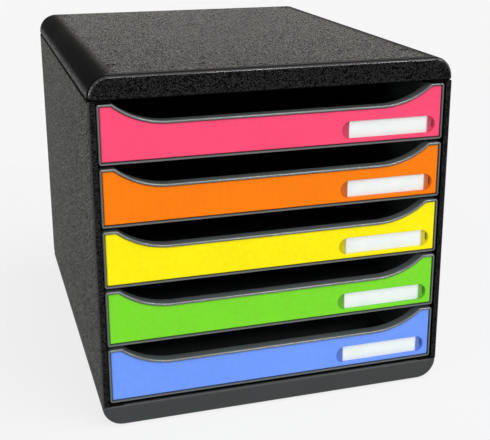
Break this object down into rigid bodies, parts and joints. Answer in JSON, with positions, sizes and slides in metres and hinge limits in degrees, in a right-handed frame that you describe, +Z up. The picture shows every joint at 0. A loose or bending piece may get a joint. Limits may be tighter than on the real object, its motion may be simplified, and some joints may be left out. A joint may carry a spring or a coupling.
{
  "type": "desktop drawer unit",
  "caption": "Black desktop drawer unit with rounded top and base, sliding drawers with scooped coloured fronts, finger lips and label windows.",
  "frame": {"origin": "middle of the footprint, on the surface that the feet stand on", "axes": "+X to the right seen from the front, +Y to the back, +Z up; the drawers open towards -Y"},
  "size_m": [0.278, 0.347, 0.271],
  "materials": {
    "case_plastic": "fine spark grain",
    "tray_plastic": "satin",
    "foot_rubber": "matte",
    "label_card": "matte white card",
    "label_window": "clear gloss",
    "front_pink": "satin gloss",
    "front_orange": "satin gloss",
    "front_yellow": "satin gloss",
    "front_green": "satin gloss",
    "front_blue": "satin gloss"
  },
  "bodies": {
    "case": {"top_cover": "case_plastic", "base_cover": "case_plastic", "left_side_panel": "case_plastic", "right_side_panel": "case_plastic", "back_panel": "case_plastic", "rubber_feet": "foot_rubber"},
    "drawer_1": {"drawer_tray_1": "tray_plastic", "drawer_front_1": "front_pink", "label_card_1": "label_card", "label_window_1": "label_window"},
    "drawer_2": {"drawer_tray_2": "tray_plastic", "drawer_front_2": "front_orange", "label_card_2": "label_card", "label_window_2": "label_window"},
    "drawer_3": {"drawer_tray_3": "tray_plastic", "drawer_front_3": "front_yellow", "label_card_3": "label_card", "label_window_3": "label_window"},
    "drawer_4": {"drawer_tray_4": "tray_plastic", "drawer_front_4": "front_green", "label_card_4": "label_card", "label_window_4": "label_window"},
    "drawer_5": {"drawer_tray_5": "tray_plastic", "drawer_front_5": "front_blue", "label_card_5": "label_card", "label_window_5": "label_window"}
  },
  "joints": [
    {"name": "drawer_1_slide", "type": "slide", "parent": "case", "child": "drawer_1", "axis": [0, -1, 0], "range_m": [0, 0.24]},
    {"name": "drawer_2_slide", "type": "slide", "parent": "case", "child": "drawer_2", "axis": [0, -1, 0], "range_m": [0, 0.24]},
    {"name": "drawer_3_slide", "type": "slide", "parent": "case", "child": "drawer_3", "axis": [0, -1, 0], "range_m": [0, 0.24]},
    {"name": "drawer_4_slide", "type": "slide", "parent": "case", "child": "drawer_4", "axis": [0, -1, 0], "range_m": [0, 0.24]},
    {"name": "drawer_5_slide", "type": "slide", "parent": "case", "child": "drawer_5", "axis": [0, -1, 0], "range_m": [0, 0.24]}
  ]
}
